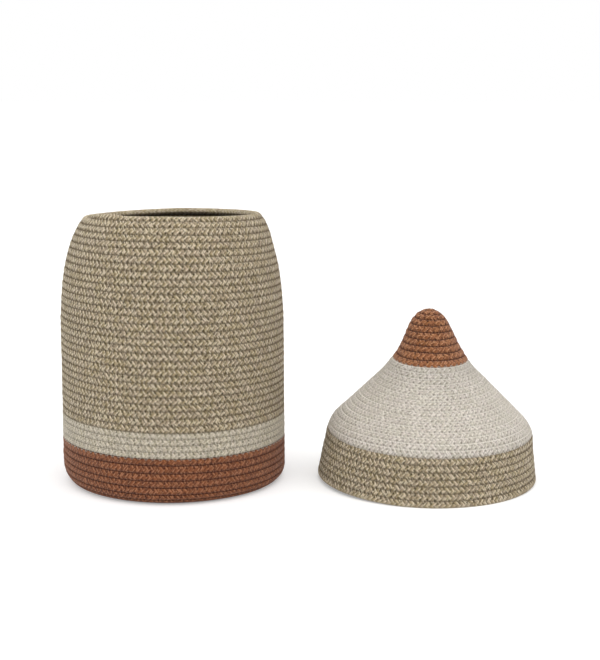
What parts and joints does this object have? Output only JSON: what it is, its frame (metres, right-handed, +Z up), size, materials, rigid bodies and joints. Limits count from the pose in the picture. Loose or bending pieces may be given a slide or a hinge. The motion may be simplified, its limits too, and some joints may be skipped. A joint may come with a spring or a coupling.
{
  "type": "coiled cord basket with pointed lid",
  "caption": "Round basket of coiled braided cotton cord in oat, cream and terracotta, with a pointed cone lid that slips over the closing-in mouth and stands beside it.",
  "frame": {"origin": "centre of the basket's round underside, on the floor", "axes": "+Z up; -Y to the front; +X from the basket to the lid that stands beside it"},
  "size_m": [0.553, 0.267, 0.3128],
  "materials": {
    "oat_cord": "braided cotton cord, oat melange, matt",
    "cream_cord": "braided cotton cord, cream, matt",
    "terracotta_cord": "braided cotton cord, terracotta, matt"
  },
  "bodies": {
    "basket": {"base_coil": "terracotta_cord", "terracotta_wall": "terracotta_cord", "cream_wall_band": "cream_cord", "oat_wall": "oat_cord"},
    "lid": {"lid_oat_skirt": "oat_cord", "lid_cream_cone": "cream_cord", "lid_terracotta_tip": "terracotta_cord"}
  },
  "joints": [
    {"name": "lid_lift", "type": "slide", "parent": "basket", "child": "lid", "axis": [0, 0, 1], "range_m": [0, 0.45]}
  ]
}
